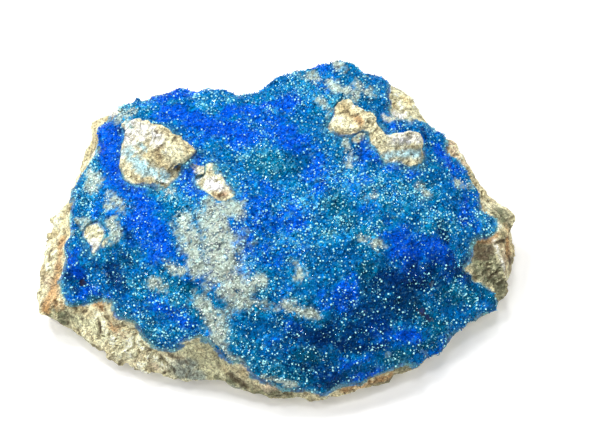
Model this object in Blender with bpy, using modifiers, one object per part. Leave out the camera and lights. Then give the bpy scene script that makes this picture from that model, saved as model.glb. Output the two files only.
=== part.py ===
"""Kinoite specimen: a broken slab of pale skarn with a crust of blue kinoite crystals on its upper face.

The slab lies on its flat underside. +X is to the right, +Y to the back and +Z up.
The origin is at the middle of the bounding box, at the level that the slab rests on.
Two solids: the rock matrix and, 0.3 mm above it, the crust that grew over its upper face.
"""

import math

import bmesh
import bpy
import numpy as np
from mathutils import Euler, Matrix, Vector, noise

MM = 0.001

# Driving dimensions, in millimetres
CRUST_THICKNESS = 1.5
CRUST_GAP = 0.35
CRUST_LUMPS = 0.75
LUMP_SIZE = 0.8
RIM_LAP = 1.2
CRUST_FLOOR = 2.0
EDGE_STEP = 2.2
EDGE_RAGGEDNESS = 0.45
REMESH_SIZE = 0.75
UNDERCUT = 3.6
ROCK_ROUGHNESS = 0.45
HIDDEN_ROUGHNESS = 0.0
CHIP_SIZE = 8.0
CHIP_DEPTH = 0.6
SIDE_SWELL = 0.3
ROCK_TRIANGLES = 4200
CRUST_TRIANGLES = 2000

# Crystals that stand out of the crust, in millimetres
CRYSTAL_COUNT = 48
CRYSTAL_WIDTH = 1.5
CRYSTAL_HEIGHT = 1.6
CRYSTAL_SINK = 0.55
CRYSTAL_SPACING = 4.5
CRYSTAL_SEED = 7

CENTRE = (0.0, -3.0)
SEGMENTS = 168
TOP_RINGS = 16
BURIED = 6.0

# The edge where the upper face breaks off into the sides: plan place and height
RIM = [
    (-41.5, -17.5, 8.0), (-35.0, -17.5, 9.5), (-31.5, -21.5, 9.5), (-27.5, -23.0, 9.5), (-24.0, -27.0, 9.0),
    (-15.0, -27.0, 11.5), (-10.5, -29.5, 10.5), (-6.5, -31.5, 9.0), (-3.0, -33.5, 7.0), (1.5, -35.0, 5.0),
    (9.5, -35.0, 5.0), (16.5, -33.5, 5.5), (19.5, -32.0, 6.0), (28.0, -29.0, 6.0), (31.0, -27.0, 5.5),
    (34.5, -22.5, 6.0), (38.5, -19.5, 6.0), (43.5, -17.0, 5.5), (46.5, -13.5, 6.0), (45.0, -9.0, 8.5),
    (43.5, -4.0, 10.5), (46.2, 2.2, 10.0), (44.0, 5.4, 11.5), (39.8, 9.9, 13.5), (36.6, 14.2, 15.0),
    (33.5, 16.5, 16.0), (29.5, 19.0, 17.5), (28.0, 24.5, 18.0), (22.5, 26.6, 20.5), (17.0, 28.3, 21.0),
    (13.0, 30.0, 21.0), (8.5, 29.9, 20.5), (4.5, 28.9, 19.5), (0.5, 28.2, 18.5), (-4.0, 25.2, 17.5),
    (-7.5, 25.0, 17.0), (-14.5, 27.2, 16.0), (-21.5, 26.9, 16.0), (-24.5, 27.6, 15.0), (-29.0, 25.0, 14.5),
    (-31.5, 24.6, 14.0), (-33.6, 21.8, 13.0), (-35.0, 24.4, 13.5), (-36.2, 20.0, 14.0), (-35.6, 16.5, 14.0),
    (-36.6, 12.9, 13.5), (-39.6, 8.5, 12.5), (-40.8, 2.5, 12.0), (-40.0, -3.5, 12.5), (-41.2, -6.5, 11.5),
    (-41.6, -11.0, 9.5), (-43.2, -13.0, 8.0),
]

# The widest line of the sides, low down
SKIRT = [
    (-48.0, -18.0, 4.0), (-46.0, -19.5, 4.0), (-41.5, -22.0, 4.0), (-38.0, -24.0, 4.0), (-33.0, -27.0, 3.5),
    (-29.0, -29.0, 3.0), (-25.0, -30.5, 3.0), (-17.5, -33.0, 3.0), (-14.0, -32.5, 3.0), (-11.0, -33.0, 3.5),
    (-6.0, -34.5, 3.5), (-2.0, -36.0, 3.0), (6.5, -37.0, 3.0), (15.5, -34.5, 3.0), (22.5, -32.5, 3.0),
    (24.0, -30.5, 3.0), (29.0, -28.5, 3.0), (31.5, -26.0, 3.5), (35.0, -22.5, 4.0), (38.5, -19.5, 4.5),
    (43.5, -17.0, 4.5), (46.5, -13.5, 5.0), (48.0, -7.5, 5.0), (48.5, -2.0, 6.0), (48.0, 1.0, 7.0),
    (46.5, 4.0, 8.0), (44.0, 7.0, 8.0), (40.5, 11.5, 8.0), (37.5, 16.0, 7.5), (34.0, 20.0, 7.0),
    (31.0, 25.0, 6.0), (27.0, 29.0, 6.0), (20.0, 31.5, 6.0), (11.0, 33.5, 6.0), (0.0, 32.5, 6.0),
    (-8.0, 29.0, 5.0), (-16.0, 31.0, 5.0), (-26.0, 31.0, 5.0), (-34.0, 29.5, 5.0), (-38.5, 26.0, 5.0),
    (-39.5, 20.0, 6.0), (-42.0, 11.0, 6.0), (-45.0, 5.5, 6.5), (-47.0, 2.5, 7.0), (-47.5, -4.5, 6.0),
    (-47.5, -11.0, 6.0),
]

# How high the upper face stands inside the rim
TOP_HEIGHTS = {
    "left field": (-29, -6, 16.5),
    "left field back": (-33, 13, 15.5),
    "left hollow": (-39, -14, 7.5),
    "left shoulder": (-38, -8, 13.5),
    "left front": (-33, -14, 13.0),
    "front left": (-25, -22, 12.5),
    "knob foot": (-24, 11, 17.5),
    "back left": (-26, 22, 16.0),
    "saddle back": (-12, 18, 18.5),
    "saddle": (-8, 11, 19.0),
    "pale ridge top": (-12, -1, 20.0),
    "pale ridge middle": (-10, -12, 19.0),
    "pale ridge foot": (-12, -22, 15.0),
    "middle back": (5, 19, 20.5),
    "middle": (5, 1, 20.5),
    "middle front": (5, -14, 18.5),
    "apron": (5, -25, 14.0),
    "apron foot": (5, -31, 9.0),
    "right back": (15, 18, 22.0),
    "right crest": (22, 6, 22.0),
    "right": (20, -6, 20.5),
    "right front": (22, -17, 16.0),
    "right foot": (20, -26, 10.5),
    "far right back": (32, 7, 18.0),
    "far right": (33, -6, 16.0),
    "far right front": (32, -16, 11.5),
    "corner": (40, -16, 7.5),
    "bare right": (41, -10, 9.5),
}

# Low ridges across the upper face: from, to, height and half width
RIDGES = [
    ((12, 31), (23, 17), 1.5, 2.0),
    ((3, 27), (11, 17), 0.9, 1.8),
    ((-13, 2), (-9, -22), 0.9, 3.0),
    ((-6, -19), (10, -21), 0.8, 1.8),
    ((24, -2), (34, -12), 0.8, 2.2),
    ((-34, 20), (-36, 4), 0.8, 2.0),
    ((43.6, -3), (46, -13), 0.9, 1.0),
    ((27, 19), (27.5, 24), 0.6, 1.5),
]

# Pits in the upper face: place, depth and radius
PITS = [
    ((-39, -13.5), 2.2, 2.2),
    ((29, 1), 0.8, 2.5),
    ((-20, -3), 1.0, 4.0),
    ((14, 6), 0.9, 4.0),
    ((12, -19), 1.1, 5.0),
    ((1, 24), 0.7, 3.0),
]

# Hollows broken out of the sides: place, radius and depth
SCOOPS = [
    ((-25.5, -29.5, 8.0), 6.5, 1.5),
    ((-12.5, -32.0, 9.5), 6.0, 1.7),
    ((-39.0, -22.5, 6.5), 5.5, 1.0),
    ((-46.0, -2.0, 9.5), 6.0, 1.2),
    ((-43.0, 9.0, 6.0), 7.0, 1.6),
    ((-10.0, 29.5, 8.0), 8.0, 1.8),
    ((-30.0, 30.0, 7.0), 7.0, 1.5),
    ((12.0, 32.0, 12.0), 9.0, 1.8),
    ((32.0, 26.0, 8.0), 7.0, 1.6),
    ((42.0, 9.0, 9.0), 6.0, 1.4),
    ((49.0, -10.0, 4.0), 4.5, 1.0),
    ((5.0, -36.5, 2.0), 6.0, 0.8),
]

# Lumps of bare rock that stand through the crust: outline of the top, seen from above, and its heights
KNOBS = {
    "left knob": [
        (-29.8, 17.6, 19.5), (-26.2, 18.0, 20.5), (-24.6, 15.6, 21.0), (-22.8, 15.3, 21.0), (-20.6, 12.8, 21.5),
        (-15.6, 10.0, 21.5), (-18.6, 7.8, 21.5), (-19.8, 4.8, 20.5), (-21.8, 2.8, 20.0), (-26.0, 3.4, 19.0),
        (-29.8, 5.0, 18.5), (-30.6, 10.0, 18.8), (-31.3, 14.2, 19.0),
    ],
    "left knob step": [
        (-24.6, 15.0, 22.4), (-21.6, 13.0, 22.6), (-16.6, 10.0, 22.2), (-19.2, 7.4, 22.2), (-21.0, 4.6, 21.6),
        (-23.8, 6.0, 21.8), (-25.2, 10.0, 22.2),
    ],
    "saddle knob": [
        (-16.0, 3.0, 21.0), (-14.5, 6.0, 21.0), (-12.5, 7.5, 21.0), (-10.5, 3.5, 21.5), (-8.0, -1.0, 21.5),
        (-11.0, -2.0, 21.0), (-13.5, 0.0, 21.0),
    ],
    "crest knob": [
        (12.2, 20.6, 24.5), (15.2, 17.8, 25.0), (18.4, 16.6, 25.0), (20.8, 13.8, 25.0), (21.8, 11.8, 24.5),
        (17.0, 12.6, 24.5), (10.8, 12.8, 24.0), (9.9, 14.4, 23.8), (11.2, 16.4, 24.0), (11.4, 19.0, 24.3),
    ],
    "crest end": [
        (18.0, 12.4, 24.2), (22.2, 11.6, 24.8), (25.2, 11.4, 25.2), (27.2, 12.2, 25.5), (28.8, 11.4, 25.0),
        (29.3, 9.4, 24.2), (28.6, 6.6, 21.8), (26.2, 5.8, 21.6), (21.8, 6.8, 22.0), (18.6, 10.2, 23.4),
    ],
}

# The edge of the crust, seen from above. It leaves bare the right end and the ear at the back right
CRUST_EDGE = [
    (-41.5, -17.5), (-39.0, -18.2), (-35.0, -17.5), (-33.0, -19.0), (-31.5, -21.5), (-27.5, -23.0),
    (-24.0, -27.0), (-20.0, -27.7), (-15.0, -27.0), (-13.0, -27.5), (-10.5, -29.5), (-6.5, -31.5),
    (-3.0, -33.7), (1.5, -35.5), (9.5, -35.5), (16.5, -34.2), (19.5, -32.6), (24.5, -30.6), (28.0, -29.6),
    (31.5, -27.6), (35.0, -23.2), (38.5, -20.2), (44.0, -17.6), (43.2, -14.5), (39.0, -13.5), (37.0, -12.0),
    (38.5, -10.0), (38.5, -7.0), (40.0, -5.5), (43.5, -3.0), (43.5, -0.5), (40.5, 1.0), (40.5, 4.5),
    (38.0, 9.0), (34.5, 12.5), (34.2, 15.5), (30.5, 18.6), (28.5, 18.8), (25.5, 17.5), (22.8, 17.0),
    (22.2, 21.0), (22.6, 28.6), (17.5, 31.0), (9.0, 32.3), (0.5, 31.4), (-7.5, 28.4), (-13.0, 29.6),
    (-20.5, 28.6), (-22.5, 27.0), (-27.5, 25.8), (-31.4, 26.8), (-33.6, 21.0), (-36.6, 26.4),
    (-39.6, 20.0), (-40.2, 12.8), (-41.8, 8.5), (-42.6, 2.5), (-42.5, 0.0), (-41.0, -3.5), (-42.6, -6.5),
    (-42.5, -11.0), (-43.8, -12.5), (-42.0, -15.0),
]

# Windows in the crust where the bare rock shows without standing proud
WINDOWS = {
    "star": [
        (-38.0, -3.2), (-35.6, -3.0), (-34.2, -5.6), (-34.6, -7.8), (-36.6, -10.2), (-36.9, -7.4), (-38.1, -5.6),
    ],
}

WINDOW_MARGIN = 0.5

ROCK_COLOUR = (0.56, 0.51, 0.38, 1.0)
KINOITE_COLOUR = (0.01, 0.12, 0.62, 1.0)


def clear_scene():
    for obj in list(bpy.data.objects):
        bpy.data.objects.remove(obj)


def make_collection(name):
    collection = bpy.data.collections.new(name)
    bpy.context.scene.collection.children.link(collection)
    return collection


def add_object(name, mesh, collection):
    obj = bpy.data.objects.new(name, mesh)
    collection.objects.link(obj)
    return obj


def make_material(name, colour, roughness):
    material = bpy.data.materials.new(name)
    material.use_nodes = True
    shader = material.node_tree.nodes["Principled BSDF"]
    shader.inputs["Base Color"].default_value = colour
    shader.inputs["Roughness"].default_value = roughness
    shader.inputs["Metallic"].default_value = 0.0
    return material


class Outline:
    """A closed line round a centre, read by angle: how far out it lies, and how high."""

    def __init__(self, points, centre):
        offsets = [(x - centre[0], y - centre[1], z) for x, y, z in points]
        polar = sorted((math.atan2(y, x), math.hypot(x, y), z) for x, y, z in offsets)
        self.centre = centre
        self.angles, self.radii, self.heights = (np.array(column) for column in zip(*polar))

    def radius(self, angle):
        return float(np.interp(angle, self.angles, self.radii, period=2 * math.pi))

    def height(self, angle):
        return float(np.interp(angle, self.angles, self.heights, period=2 * math.pi))

    def place(self, angle, share=1.0, outward=0.0):
        reach = self.radius(angle) * share + outward
        return self.centre[0] + reach * math.cos(angle), self.centre[1] + reach * math.sin(angle)


class Relief:
    """A smooth surface through named heights: a thin plate spline, with ridges and pits added."""

    def __init__(self, points):
        self.sites = np.array([(x, y) for x, y, _ in points], float)
        count = len(points)
        system = np.zeros((count + 3, count + 3))
        system[:count, :count] = self.bend(self.sites)
        system[:count, count] = 1.0
        system[:count, count + 1 :] = self.sites
        system[count:, :count] = system[:count, count:].T
        wanted = np.array([z for _, _, z in points] + [0.0, 0.0, 0.0])
        self.weights = np.linalg.solve(system, wanted)

    def bend(self, places):
        squares = ((places[:, None, :] - self.sites[None, :, :]) ** 2).sum(axis=2)
        return squares * np.log(squares + 1e-9)

    def height(self, x, y):
        at = np.array([[x, y]], float)
        smooth = self.bend(at)[0] @ self.weights[:-3] + self.weights[-3] + at[0] @ self.weights[-2:]
        return float(smooth) + ridge_height(x, y) - pit_depth(x, y)


def ragged(outline, step, depth):
    """The outline in short steps, each moved a little in or out, so that the broken edge looks torn."""
    line = []
    for (ax, ay), (bx, by) in zip(outline, outline[1:] + outline[:1]):
        length = math.hypot(bx - ax, by - ay)
        pieces = max(1, round(length / step))
        for piece in range(pieces):
            share = piece / pieces
            x, y = ax + (bx - ax) * share, ay + (by - ay) * share
            shift = depth * 2.0 * ripple(x, y, 0.0, 1.9, 4.0)
            line.append((x + (by - ay) / length * shift, y - (bx - ax) / length * shift))
    return line


def ridge_height(x, y):
    total = 0.0
    for start, end, height, half_width in RIDGES:
        along = Vector(end) - Vector(start)
        here = Vector((x, y)) - Vector(start)
        share = min(1.0, max(0.0, here.dot(along) / along.length_squared))
        away = (here - along * share).length
        total += height * math.exp(-((away / half_width) ** 2))
    return total


def pit_depth(x, y):
    depths = (
        depth * math.exp(-((x - cx) ** 2 + (y - cy) ** 2) / radius**2)
        for (cx, cy), depth, radius in PITS
    )
    return sum(depths)


def inside(outline, x, y):
    """Whether a place lies inside a closed outline."""
    within = False
    for (ax, ay), (bx, by) in zip(outline, outline[1:] + outline[:1]):
        if (ay > y) != (by > y) and x < ax + (y - ay) / (by - ay) * (bx - ax):
            within = not within
    return within


def ripple(x, y, z, size, seed):
    """Fractal noise about zero, at the given size in millimetres."""
    return noise.fractal(Vector((x, y, z)) / size + Vector((seed, seed, seed)), 0.9, 2.1, 4)


def chip(x, y, z):
    """How far a chipped face stands out: flat facets about CHIP_SIZE across, each tilted its own way."""
    here = Vector((x, y, z)) / CHIP_SIZE
    nearest = noise.voronoi(here)[1][0]
    lean = Vector([noise.cell(nearest * scale) - 0.5 for scale in (7.3, 5.1, 9.7)])
    return 0.7 * (noise.cell(nearest * 3.1) - 0.5) + 2.4 * lean.dot(here - nearest)


def scoop_depth(point):
    return sum(
        depth * math.exp(-((point - Vector(place)).length / radius) ** 2) for place, radius, depth in SCOOPS
    )


def lofted_block(sections):
    """A closed block through rings of points, from the top ring down, shaped from a sphere of that many rings."""
    segments = len(sections[0])
    block = bmesh.new()
    bmesh.ops.create_uvsphere(block, u_segments=segments, v_segments=len(sections) + 1, radius=1.0)
    poles = [Vector(np.mean(sections[0], axis=0)), Vector(np.mean(sections[-1], axis=0))]
    for vertex in block.verts:
        down = math.acos(max(-1.0, min(1.0, vertex.co.z))) / math.pi
        ring = round(down * (len(sections) + 1))
        if ring == 0 or ring > len(sections):
            vertex.co = poles[0] if ring == 0 else poles[1]
            continue
        turn = math.atan2(vertex.co.y, vertex.co.x) % (2 * math.pi)
        column = round(turn / (2 * math.pi) * segments) % segments
        vertex.co = Vector(sections[ring - 1][column])
    return block


def ring_angles(count):
    return [2 * math.pi * step / count for step in range(count)]


def rock_sections(relief):
    """Rings of the slab: the upper face from its middle out, then the sides down to the undercut base."""
    rim, skirt = Outline(RIM, CENTRE), Outline(SKIRT, CENTRE)
    angles = ring_angles(SEGMENTS)
    sections = []
    for step in range(1, TOP_RINGS + 1):
        share = step / TOP_RINGS
        ring = [rim.place(angle, share) for angle in angles]
        sections.append([(x, y, relief.height(x, y)) for x, y in ring])
    for share, bulge in ((0.35, 0.5), (0.7, 0.4)):
        ring = []
        for angle in angles:
            near, far = rim.place(angle), skirt.place(angle, 1.0, bulge)
            x, y = (a + (b - a) * share for a, b in zip(near, far))
            drop = rim.height(angle) + (skirt.height(angle) - rim.height(angle)) * share
            ring.append((x, y, drop))
        sections.append(ring)
    sections.append([(*skirt.place(angle), skirt.height(angle)) for angle in angles])
    for inset_share, height in ((0.45, 1.2), (1.0, -1.5)):
        ring = []
        for angle in angles:
            wander = 1.0 + 0.6 * ripple(math.cos(angle), math.sin(angle), 0.0, 0.55, 3.0)
            ring.append((*skirt.place(angle, 1.0, -UNDERCUT * inset_share * wander), height))
        sections.append(ring)
    return sections


def knob_sections(points):
    """Rings of a lump of rock: a bevelled top, the full outline below it, and a wider foot that is buried."""
    middle = np.mean([(x, y) for x, y, _ in points], axis=0)
    outline = Outline(points, tuple(middle))
    angles = ring_angles(36)
    steps = ((0.45, 0.3), (0.9, 0.15), (1.0, -0.5), (1.02, -3.0), (1.05, -BURIED))
    return [
        [(*outline.place(angle, share), outline.height(angle) + lift) for angle in angles] for share, lift in steps
    ]


def apply_modifier(obj, kind, **settings):
    """The object's mesh after one modifier, which isn't kept."""
    modifier = obj.modifiers.new(kind.title(), kind)
    for key, value in settings.items():
        setattr(modifier, key, value)
    graph = bpy.context.evaluated_depsgraph_get()
    mesh = bpy.data.meshes.new_from_object(obj.evaluated_get(graph))
    obj.modifiers.clear()
    obj.data = mesh
    return mesh


def edit(obj):
    mesh = bmesh.new()
    mesh.from_mesh(obj.data)
    return mesh


def store(mesh, obj):
    bmesh.ops.recalc_face_normals(mesh, faces=mesh.faces)
    mesh.to_mesh(obj.data)
    mesh.free()


def roughen(obj, relief):
    """Breaks up the smooth faces: coarse where the rock is bare, hardly at all under the crust."""
    mesh = edit(obj)
    mesh.normal_update()
    for vertex in mesh.verts:
        x, y, z = vertex.co / MM
        upward = max(0.0, vertex.normal.z)
        covered = upward > 0.4 and inside(CRUST_EDGE, x, y) and z < relief.height(x, y) + 0.5
        depth = HIDDEN_ROUGHNESS if covered else ROCK_ROUGHNESS
        lift = depth * (ripple(x, y, z, 9.0, 1.0) + 0.7 * ripple(x, y, z, 3.0, 5.0))
        if not covered:
            ledge = abs(ripple(x, y, 3.0 * z, 14.0, 9.0))
            bare = 1.0 - 0.75 * upward - max(0.0, -vertex.normal.z)
            lift += bare * (CHIP_DEPTH * chip(x, y, z) - 0.5 * ledge + SIDE_SWELL) - scoop_depth(Vector((x, y, z)))
        vertex.co += vertex.normal * lift * MM
    store(mesh, obj)


def keep_largest(mesh):
    """Drops every loose fragment but the largest."""
    left, islands = set(mesh.verts), []
    while left:
        reached = [left.pop()]
        for vertex in reached:
            found = [edge.other_vert(vertex) for edge in vertex.link_edges]
            fresh = [other for other in found if other in left]
            left.difference_update(fresh)
            reached.extend(fresh)
        islands.append(reached)
    islands.sort(key=len)
    bmesh.ops.delete(mesh, geom=[vertex for island in islands[:-1] for vertex in island], context="VERTS")


def cut_flat_below(mesh):
    """Cuts the underside off level with the surface that the slab rests on."""
    geometry = mesh.verts[:] + mesh.edges[:] + mesh.faces[:]
    bmesh.ops.bisect_plane(mesh, geom=geometry, plane_co=(0, 0, 0), plane_no=(0, 0, 1), clear_inner=True)
    rims = [edge for edge in mesh.edges if edge.is_boundary]
    bmesh.ops.holes_fill(mesh, edges=rims, sides=0)
    bmesh.ops.triangulate(mesh, faces=mesh.faces[:])


def build_rock(relief, collection):
    blocks = [rock_sections(relief)] + [knob_sections(points) for points in KNOBS.values()]
    joined = bpy.data.meshes.new("matrix")
    whole = bmesh.new()
    for sections in blocks:
        block = lofted_block(sections)
        block.to_mesh(joined)
        block.free()
        whole.from_mesh(joined)
    bmesh.ops.recalc_face_normals(whole, faces=whole.faces)
    bmesh.ops.scale(whole, vec=(MM, MM, MM), verts=whole.verts)
    whole.to_mesh(joined)
    whole.free()
    rock = add_object("matrix", joined, collection)
    apply_modifier(rock, "REMESH", mode="VOXEL", voxel_size=REMESH_SIZE * MM)
    roughen(rock, relief)
    triangles = sum(len(polygon.vertices) - 2 for polygon in rock.data.polygons)
    apply_modifier(rock, "DECIMATE", ratio=ROCK_TRIANGLES / triangles)
    mesh = edit(rock)
    cut_flat_below(mesh)
    keep_largest(mesh)
    store(mesh, rock)
    return rock


def prism(name, outline, collection):
    """A tall upright cutter with the given outline, in millimetres: a filled curve, extruded and made a mesh."""
    curve = bpy.data.curves.new(name, "CURVE")
    curve.dimensions = "2D"
    curve.fill_mode = "BOTH"
    curve.extrude = 40 * MM
    spline = curve.splines.new("POLY")
    spline.points.add(len(outline) - 1)
    for point, (x, y) in zip(spline.points, outline):
        point.co = (x * MM, y * MM, 0.0, 1.0)
    spline.use_cyclic_u = True
    guide = add_object(name, curve, collection)
    graph = bpy.context.evaluated_depsgraph_get()
    mesh = bpy.data.meshes.new_from_object(guide.evaluated_get(graph))
    bpy.data.objects.remove(guide)
    cutter = add_object(name, mesh, collection)
    cutter.hide_render = True
    cutter.display_type = "WIRE"
    welded = edit(cutter)
    bmesh.ops.remove_doubles(welded, verts=welded.verts, dist=0.01 * MM)
    store(welded, cutter)
    return cutter


def grown(outline, margin):
    """The outline moved out from its own middle by a margin."""
    middle = Vector(np.mean(outline, axis=0))
    spread = []
    for x, y in outline:
        away = Vector((x, y)) - middle
        spread.append(tuple(middle + away * (1.0 + margin / away.length)))
    return spread


def boolean(obj, cutter, operation, use_self=False):
    apply_modifier(obj, "BOOLEAN", object=cutter, operation=operation, solver="EXACT", use_self=use_self)
    mesh = edit(obj)
    bmesh.ops.triangulate(mesh, faces=mesh.faces[:])
    store(mesh, obj)


def crust_sections(relief):
    """Rings of a slab that covers the upper face and laps over the rim. Its underside lies inside the rock."""
    rim = Outline(RIM, CENTRE)
    angles = ring_angles(SEGMENTS)
    sections = []
    for step in range(1, TOP_RINGS + 1):
        share = step / TOP_RINGS
        ring = []
        for angle in angles:
            x, y = rim.place(angle, share)
            ring.append((x, y, relief.height(x, y) + CRUST_THICKNESS))
        sections.append(ring)
    for outward, drop in ((RIM_LAP, 0.2), (RIM_LAP + 0.2, 1.6), (-6.0, 6.0)):
        ring = [(*rim.place(angle, 1.0, outward), rim.height(angle) - drop) for angle in angles]
        sections.append([(x, y, max(z, CRUST_FLOOR)) for x, y, z in ring])
    return sections


def build_shell(relief, collection):
    """The slab that the crust is cut from, with its upper face broken into small lumps."""
    shell = bpy.data.meshes.new("kinoite_crust")
    block = lofted_block(crust_sections(relief))
    bmesh.ops.recalc_face_normals(block, faces=block.faces)
    bmesh.ops.scale(block, vec=(MM, MM, MM), verts=block.verts)
    block.to_mesh(shell)
    block.free()
    crust = add_object("kinoite_crust", shell, collection)
    apply_modifier(crust, "REMESH", mode="VOXEL", voxel_size=LUMP_SIZE * MM)
    mesh = edit(crust)
    mesh.normal_update()
    for vertex in mesh.verts:
        x, y, z = vertex.co / MM
        swell = 0.4 - 1.5 * abs(ripple(x, y, z, 6.0, 1.0)) + 0.7 * ripple(x, y, z, 2.6, 2.0)
        vertex.co += vertex.normal * swell * CRUST_LUMPS * MM
    store(mesh, crust)
    triangles = sum(len(polygon.vertices) - 2 for polygon in crust.data.polygons)
    apply_modifier(crust, "DECIMATE", ratio=CRUST_TRIANGLES / triangles)
    return crust


def inflated(rock, collection):
    """A cutter a little larger than the rock all round, so that the crust keeps its gap."""
    cutter = add_object("rock and gap", rock.data.copy(), collection)
    cutter.hide_render = True
    cutter.display_type = "WIRE"
    mesh = edit(cutter)
    mesh.normal_update()
    normals = [vertex.normal.copy() for vertex in mesh.verts]
    for vertex, normal in zip(mesh.verts, normals):
        vertex.co += normal * CRUST_GAP * MM
    store(mesh, cutter)
    return cutter


def crystal(size):
    """One blocky crystal with flat faces: a square prism that tapers to a cut-off pyramid."""
    mesh = bmesh.new()
    bmesh.ops.create_cone(
        mesh, cap_ends=True, segments=4, radius1=size * 0.72, radius2=size * 0.34, depth=CRYSTAL_HEIGHT
    )
    return mesh


def build_crystals(crust, cutters):
    """Crystals on the crust's outer faces, far enough apart that none meets another."""
    draw = np.random.default_rng(CRYSTAL_SEED)
    faces = [polygon for polygon in crust.data.polygons if polygon.normal.z > 0.5]
    order = draw.permutation(len(faces))
    whole, placed = bmesh.new(), []
    scratch = bpy.data.meshes.new("crystals")
    for index in order:
        face = faces[index]
        centre = face.center / MM
        if any((centre - other).length < CRYSTAL_SPACING for other in placed):
            continue
        placed.append(centre)
        size = CRYSTAL_WIDTH * draw.uniform(0.7, 1.15)
        tilt = Euler((*draw.uniform(-0.5, 0.5, 2), draw.uniform(0, math.pi))).to_matrix().to_4x4()
        stand = face.normal.to_track_quat("Z", "Y").to_matrix().to_4x4()
        lift = face.normal * (0.5 - CRYSTAL_SINK) * CRYSTAL_HEIGHT
        one = crystal(size)
        one.transform(Matrix.Scale(MM, 4) @ Matrix.Translation(centre + lift) @ stand @ tilt)
        one.to_mesh(scratch)
        one.free()
        whole.from_mesh(scratch)
        if len(placed) == CRYSTAL_COUNT:
            break
    whole.to_mesh(scratch)
    whole.free()
    crystals = add_object("crystals", scratch, cutters)
    crystals.hide_render = True
    crystals.display_type = "WIRE"
    return crystals


def build_crust(rock, relief, collection, cutters):
    crust = build_shell(relief, collection)
    edge = ragged(CRUST_EDGE, EDGE_STEP, EDGE_RAGGEDNESS)
    boolean(crust, prism("crust edge", edge, cutters), "INTERSECT")
    windows = {name: [(x, y) for x, y, _ in points] for name, points in KNOBS.items()}
    windows.update(WINDOWS)
    for name, outline in windows.items():
        window = ragged(grown(outline, WINDOW_MARGIN), EDGE_STEP, 0.5 * EDGE_RAGGEDNESS)
        boolean(crust, prism(f"window over {name}", window, cutters), "DIFFERENCE")
    boolean(crust, build_crystals(crust, cutters), "UNION")
    boolean(crust, inflated(rock, cutters), "DIFFERENCE", use_self=True)
    mesh = edit(crust)
    keep_largest(mesh)
    store(mesh, crust)
    return crust


def centre_on_origin(objects):
    """Moves everything so that the middle of the specimen's bounding box is over the origin."""
    corners = [vertex.co for obj in objects for vertex in obj.data.vertices]
    middle = [(min(c[axis] for c in corners) + max(c[axis] for c in corners)) / 2 for axis in range(2)]
    shift = Matrix.Translation((-middle[0], -middle[1], 0.0))
    for obj in bpy.data.objects:
        obj.data.transform(shift)
    print("moved by", [round(-value / MM, 3) for value in middle], "mm")


def main():
    clear_scene()
    specimen = make_collection("kinoite specimen")
    cutters = make_collection("cutters")
    relief = Relief(RIM + list(TOP_HEIGHTS.values()))
    rock = build_rock(relief, specimen)
    crust = build_crust(rock, relief, specimen, cutters)
    rock.data.materials.append(make_material("pale skarn", ROCK_COLOUR, 0.9))
    crust.data.materials.append(make_material("kinoite", KINOITE_COLOUR, 0.35))
    centre_on_origin((rock, crust))
    for obj in (rock, crust):
        print(obj.name, len(obj.data.polygons), "faces")


main()
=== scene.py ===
import itertools
import math

import bmesh
import bpy
import numpy as np
from bpy.props import FloatProperty, FloatVectorProperty, IntProperty, PointerProperty
from bpy.types import Operator, Panel, PropertyGroup
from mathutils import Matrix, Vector, noise
from mathutils.bvhtree import BVHTree
from mathutils.kdtree import KDTree


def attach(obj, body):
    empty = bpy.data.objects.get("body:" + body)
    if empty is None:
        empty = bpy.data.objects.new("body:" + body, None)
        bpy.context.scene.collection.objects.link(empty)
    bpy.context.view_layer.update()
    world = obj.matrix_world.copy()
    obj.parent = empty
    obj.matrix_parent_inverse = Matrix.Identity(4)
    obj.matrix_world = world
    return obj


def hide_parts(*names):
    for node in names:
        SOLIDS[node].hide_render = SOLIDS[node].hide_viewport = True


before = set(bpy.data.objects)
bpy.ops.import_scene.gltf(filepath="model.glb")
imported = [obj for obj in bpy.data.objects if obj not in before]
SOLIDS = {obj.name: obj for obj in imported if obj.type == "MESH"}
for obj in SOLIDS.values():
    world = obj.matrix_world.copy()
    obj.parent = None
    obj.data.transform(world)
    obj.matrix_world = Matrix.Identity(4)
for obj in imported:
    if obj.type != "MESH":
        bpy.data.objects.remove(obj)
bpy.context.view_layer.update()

bl_info = {
    "name": "Kinoite specimen",
    "version": (1, 0, 0),
    "blender": (4, 5, 0),
    "location": "3D View > Sidebar > Specimen",
    "description": "Dresses a slab of skarn with its blue kinoite crust and clear crystals",
    "category": "Object",
}

MM = 0.001

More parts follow.
